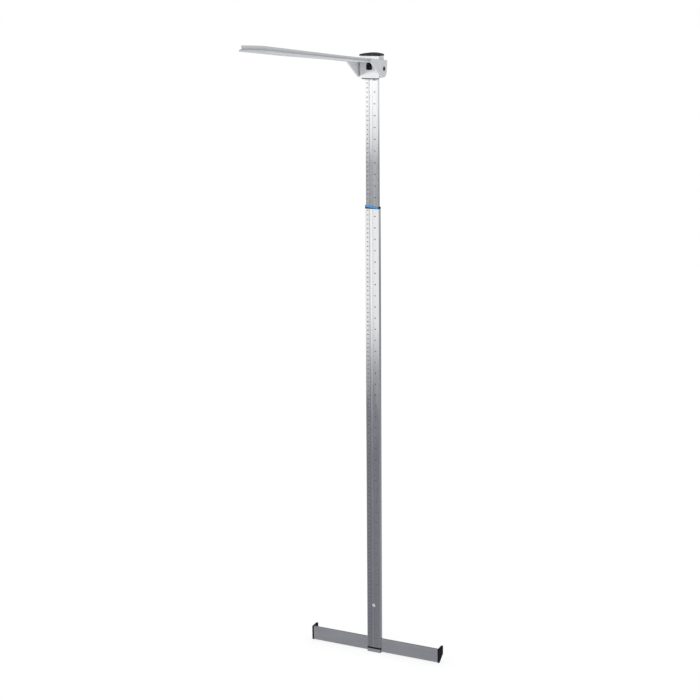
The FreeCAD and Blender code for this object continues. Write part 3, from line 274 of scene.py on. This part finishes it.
# Colour, roughness, and where they matter the specular level and the wear of the edges.
PLASTICS = {
    "black_plastic": ((0.005, 0.0054, 0.0064), 0.62, 0.12, 2.5),
    "blue_plastic": ((0.028, 0.235, 0.60), 0.35),
    "grey_plastic": ((0.17, 0.18, 0.20), 0.55),
    "head_plastic": ((0.64, 0.65, 0.665), 0.45),
    "arm_plastic": ((0.73, 0.74, 0.765), 0.45),
    "button_plastic": ((0.004, 0.004, 0.0045), 0.5, 0.15, 2.0),
    "nylon": ((0.86, 0.86, 0.84), 0.5),
    "rubber_black": ((0.008, 0.008, 0.008), 0.8, 0.1, 1.5),
    "cap_plastic": ((0.009, 0.0095, 0.011), 0.45, 0.25, 2.5),
    "sleeve_nylon": ((0.96, 0.96, 0.955), 0.5),
    "end_block_plastic": ((0.88, 0.885, 0.895), 0.4),
}

# Nodes that look a little different from the rest of their slot.
OWN_MATERIAL = {
    "top_cap": "cap_plastic",
    "fixing_sleeve": "sleeve_nylon",
    "rod_end_block": "end_block_plastic",
    "cm_scale_inner": "cm_print_inner",
    "inch_scale_inner": "inch_print_inner",
}


def dress_nodes():
    """Give every CAD node the material of its slot, or its own."""
    made = {name: drawn_metal(name, *values) for name, values in METALS.items()}
    made.update({name: moulded(name, *values) for name, values in PLASTICS.items()})
    for subpart in frame["record"]["subparts"]:
        material = OWN_MATERIAL.get(subpart["node"], subpart["material_slot"])
        shown = NODES[subpart["node"]]
        shown.data.materials.clear()
        shown.data.materials.append(made[material])


dress_nodes()
INK = ink("scale_ink", (0.045, 0.048, 0.055))


# ---- Printed scales ---------------------------------------------------------

INK_THICK = 0.04 * MM
BOLD = 0.18 * MM
CM_FIGURE = 3.5 * MM
INCH_FIGURE = 4.0 * MM
THREE_FIGURES_NARROW = 0.68

# The lines start just off the strip's inner edge, and the numbers stand this far out.
INNER_MARGIN = 0.2 * MM
CM_FIGURE_OUT = 6.6 * MM
INCH_FIGURE_OUT = 6.2 * MM
END_MARGIN = 2 * MM

# Lengths and widths of the lines at a whole unit, at a half, and between.
CM_LINES = ((4.2 * MM, 0.42 * MM), (3.4 * MM, 0.3 * MM), (2.6 * MM, 0.3 * MM))
INCH_LINES = ((3.2 * MM, 0.5 * MM), (2.7 * MM, 0.5 * MM), (2.2 * MM, 0.5 * MM))

# Both scales count from here, and inches as far as any strip needs, in metres.
ZERO_BELOW_FOOT = 83 * MM
LONGEST_READING = 2.2

# A printed line's corners are numbered round its front, then round its rear.
PRISM_FACES = (
    (0, 1, 2, 3),
    (7, 6, 5, 4),
    (0, 4, 5, 1),
    (1, 5, 6, 2),
    (2, 6, 7, 3),
    (3, 7, 4, 0),
)


def digit_mesh(text, size):
    """Vertices and faces of a solid, extruded string, standing in X and Z and facing -Y."""
    curve = bpy.data.curves.new("digit", "FONT")
    curve.body = text
    curve.size = size
    curve.extrude = INK_THICK / 2
    curve.offset = BOLD
    curve.resolution_u = 3
    holder = bpy.data.objects.new("digit", curve)
    mesh = bpy.data.meshes.new_from_object(holder)
    points = [Vector((v.co.x, -v.co.z, v.co.y)) for v in mesh.vertices]
    faces = [tuple(f.vertices) for f in mesh.polygons]
    bpy.data.meshes.remove(mesh)
    bpy.data.objects.remove(holder)
    bpy.data.curves.remove(curve)
    return points, faces


class Print:
    """Ink on one scale strip, gathered into one mesh."""

    def __init__(self, front, size):
        self.front = front
        self.points = []
        self.faces = []
        self.digits = {text: digit_mesh(text, size) for text in "0123456789"}
        nought, noughts = self.digits["0"][0], digit_mesh("00", size)[0]
        self.advance = max(p.x for p in noughts) - max(p.x for p in nought)
        self.tall = max(p.z for p in nought)

    def add(self, points, faces):
        first = len(self.points)
        self.points += points
        self.faces += [tuple(first + i for i in face) for face in faces]

    def tick(self, near, far, height, thick):
        """A line across the strip from near to far."""
        left, right = sorted((near, far))
        low, high = height - thick / 2, height + thick / 2
        outline = ((left, low), (right, low), (right, high), (left, high))
        front, rear = self.front - INK_THICK, self.front + INK_THICK
        points = [Vector((x, y, z)) for y in (front, rear) for x, z in outline]
        self.add(points, PRISM_FACES)

    def number(self, value, middle, height):
        """A number centred on middle, its figures centred on height."""
        text = str(value)
        narrow = THREE_FIGURES_NARROW if len(text) > 2 else 1.0
        advance = self.advance * narrow
        left = middle - advance * len(text) / 2
        base = height - self.tall / 2
        for place, figure in enumerate(text):
            points, faces = self.digits[figure]
            move = Vector((left + place * advance, self.front, base))
            self.add([Vector((p.x * narrow, p.y, p.z)) + move for p in points], faces)

    def finish(self, name, body):
        """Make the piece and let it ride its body."""
        mesh = bpy.data.meshes.new(name)
        mesh.from_pydata(self.points, [], self.faces)
        mesh.materials.append(INK)
        piece = bpy.data.objects.new(name, mesh)
        bpy.context.scene.collection.objects.link(piece)
        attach(piece, body)


def line_for(count, unit, lines):
    """Length and width of the line at a count, where so many make a whole unit."""
    if count % unit == 0:
        return lines[0]
    return lines[1] if count % (unit // 2) == 0 else lines[2]


def centimetre_marks(tube, body, reading_at):
    """Millimetre lines from the strip's inner edge, and a number at each centimetre."""
    low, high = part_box(f"cm_scale_{tube}")
    strip = Print(low.y, CM_FIGURE)
    edge = high.x - INNER_MARGIN
    first = math.ceil((low.z + END_MARGIN) / MM)
    last = math.floor((high.z - END_MARGIN) / MM)
    for step in range(first, last + 1):
        height = step * MM
        reading = round(reading_at(height) / MM)
        long, thick = line_for(reading, 10, CM_LINES)
        strip.tick(edge, edge - long, height, thick)
        if reading % 10 == 0:
            strip.number(reading // 10, edge - CM_FIGURE_OUT, height)
    strip.finish(f"cm_figures_{tube}", body)


def inch_marks(tube, body, height_at):
    """Eighth-inch lines from the strip's inner edge, and a number at each inch."""
    low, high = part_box(f"inch_scale_{tube}")
    strip = Print(low.y, INCH_FIGURE)
    edge = low.x + INNER_MARGIN
    for eighth in range(1 + round(LONGEST_READING * 8 / INCH)):
        height = height_at(eighth * INCH / 8)
        if not low.z + END_MARGIN <= height <= high.z - END_MARGIN:
            continue
        long, thick = line_for(eighth, 8, INCH_LINES)
        strip.tick(edge, edge + long, height, thick)
        if eighth % 8 == 0:
            strip.number(eighth // 8, edge + INCH_FIGURE_OUT, height)
    strip.finish(f"inch_figures_{tube}", body)


def print_scales():
    """Outer tube: heights above the zero. Inner tube: read where it enters the collar."""
    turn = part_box("collar")[1].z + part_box("reading_edge")[0].z + ZERO_BELOW_FOOT

    def above_zero(height):
        return height + ZERO_BELOW_FOOT

    def from_zero(reading):
        return reading - ZERO_BELOW_FOOT

    def turned(height_or_reading):
        return turn - height_or_reading

    centimetre_marks("outer", "mast", above_zero)
    inch_marks("outer", "mast", from_zero)
    centimetre_marks("inner", "inner_rod", turned)
    inch_marks("inner", "inner_rod", turned)


print_scales()


# ---- Floor, light and camera ------------------------------------------------

FLOOR_HALF = 40.0
FLOOR_GREYS = (0.46, 0.48)
FLOOR_GLOW = 1.65


def grey(level):
    return (level, level, level, 1.0)


def make_floor():
    """A pale floor that glows a little, so it comes out white. Metal doesn't see it."""
    low, high = -FLOOR_HALF, FLOOR_HALF
    corners = [(low, low, 0), (high, low, 0), (high, high, 0), (low, high, 0)]
    mesh = bpy.data.meshes.new("floor")
    mesh.from_pydata(corners, [], [(0, 1, 2, 3)])
    floor = bpy.data.objects.new("floor", mesh)
    bpy.context.scene.collection.objects.link(floor)
    material, tree, shader = new_material("pale_floor")
    shade = noise(tree, place_of(tree), [FLOOR_CELLS] * 3, 2.0)
    base = blend(tree, shade, *[grey(level) for level in FLOOR_GREYS])
    tree.links.new(base, shader.inputs["Base Color"])
    tree.links.new(base, shader.inputs["Emission Color"])
    shader.inputs["Emission Strength"].default_value = FLOOR_GLOW
    shader.inputs["Roughness"].default_value = 1.0
    shader.inputs["Specular IOR Level"].default_value = 0.0
    mesh.materials.append(material)
    floor.visible_glossy = False
    return floor


# What matt surfaces see from everywhere.
TENT = 0.50

# The studio as reflections see it, by direction. Heights are sines of elevation.
FRONT_LEFT = (-0.411, -0.911, 0.0)
BACK_RIGHT = (0.411, 0.911, 0.0)
FRONT_WIDTH = (0.35, 0.75)
FRONT_EDGE = (-0.262, -0.218)
FRONT_LEVEL = 0.86
BACK_WIDTH = (0.2, 0.7)
BACK_EDGE = (-0.20, -0.05)
BACK_LEVELS = (0.07, 0.66)
ROOM_LEVEL = 0.235
OVERHEAD_EDGE = (0.08, 0.38)
OVERHEAD_LEVEL = 0.25

# What is darker than these levels is a little bluish, fully at the lower one.
GAP_LEVELS = (0.3, 0.8)
GAP_HUE = (0.94, 0.97, 1.09, 1.0)


def soft_step(tree, value, low, high, ends):
    return remap(tree, value, low, high, *ends, "SMOOTHSTEP")


def make_sky():
    """An even pale tent for matt surfaces; panels and dark gaps in what metal reflects."""
    world = bpy.data.worlds.new("studio")
    bpy.context.scene.world = world
    world.use_nodes = True
    world.cycles.sampling_method = "NONE"
    tree = world.node_tree
    direction = node(tree, "ShaderNodeTexCoord").outputs["Generated"]
    rise = height_of(tree, direction)
    front = soft_step(tree, dot(tree, direction, FRONT_LEFT), 0.0, 1.0, FRONT_WIDTH)
    above = soft_step(tree, rise, 0.0, 1.0, FRONT_EDGE)
    back = soft_step(tree, dot(tree, direction, BACK_RIGHT), 0.0, 1.0, BACK_WIDTH)
    level = soft_step(tree, rise, *BACK_LEVELS, BACK_EDGE)
    shown = math_node(tree, "ADD", product(tree, front, above, FRONT_LEVEL), ROOM_LEVEL)
    shown = math_node(tree, "ADD", shown, product(tree, back, level))
    shown = product(tree, shown, soft_step(tree, rise, 1.0, OVERHEAD_LEVEL, OVERHEAD_EDGE))
    rays = node(tree, "ShaderNodeLightPath").outputs
    lit = blend(tree, rays["Is Glossy Ray"], TENT, shown, "FLOAT")
    strength = math_node(tree, "MAXIMUM", lit, rays["Is Camera Ray"])
    gap = remap(tree, shown, 1.0, 0.0, *GAP_LEVELS)
    hue = blend(tree, product(tree, gap, rays["Is Glossy Ray"]), grey(1.0), GAP_HUE)
    background = tree.nodes["Background"].inputs
    tree.links.new(strength, background["Strength"])
    tree.links.new(hue, background["Color"])


# Which way the lamp lies, left of straight ahead and above, and how wide it looks.
KEY_AZIMUTH = math.radians(38)
KEY_RISE = math.radians(15)
KEY_ANGLE = math.radians(11)
KEY_ENERGY = 2.2


def make_key(*flagged_off):
    """A low soft lamp at the front left, kept off some things as studio flags would."""
    light = bpy.data.lights.new("key", "SUN")
    light.energy = KEY_ENERGY
    light.angle = KEY_ANGLE
    key = bpy.data.objects.new("key", light)
    azimuth, rise = KEY_AZIMUTH, KEY_RISE
    ahead = math.cos(rise)
    towards = Vector(
        (-ahead * math.sin(azimuth), -ahead * math.cos(azimuth), math.sin(rise))
    )
    key.rotation_euler = towards.to_track_quat("Z", "Y").to_euler()
    bpy.context.scene.collection.objects.link(key)
    flagged = bpy.data.collections.new("flagged")
    for shaded in flagged_off:
        flagged.objects.link(shaded)
    key.light_linking.receiver_collection = flagged
    for linked in flagged.collection_objects:
        linked.light_linking.link_state = "EXCLUDE"


# In metres and, for the lens, millimetres. It is turned left and tilted down.
CAMERA_PLACE = (1.376, -3.0505, 1.549)
CAMERA_TURN = math.radians(25.184)
CAMERA_TILT = math.radians(13.73)
CAMERA_ROLL = math.radians(-0.47)
SENSOR = 36.0
FOCAL_LENGTH = 78.8914286
CLIP_END = 200.0


def make_camera():
    """Seen from the front right and a little above, through a long lens."""
    turn, tilt, roll = CAMERA_TURN, CAMERA_TILT, CAMERA_ROLL
    level = Vector((-math.sin(turn), math.cos(turn), 0.0))
    forward = level * math.cos(tilt) - Vector((0, 0, math.sin(tilt)))
    upright = Vector((0, 0, math.cos(tilt))) + level * math.sin(tilt)
    sideways = Vector((math.cos(turn), math.sin(turn), 0.0))
    right = sideways * math.cos(roll) + upright * math.sin(roll)
    up = upright * math.cos(roll) - sideways * math.sin(roll)
    lens = bpy.data.cameras.new("camera")
    lens.sensor_width = SENSOR
    lens.lens = FOCAL_LENGTH
    lens.clip_end = CLIP_END
    camera = bpy.data.objects.new("camera", lens)
    axes = Matrix((right, up, -forward)).transposed()
    camera.matrix_world = Matrix.Translation(CAMERA_PLACE) @ axes.to_4x4()
    bpy.context.scene.collection.objects.link(camera)
    bpy.context.scene.camera = camera


make_sky()
make_key(make_floor(), NODES["head_arm"], NODES["crossbar"])
make_camera()
bpy.context.scene.view_settings.view_transform = "Standard"
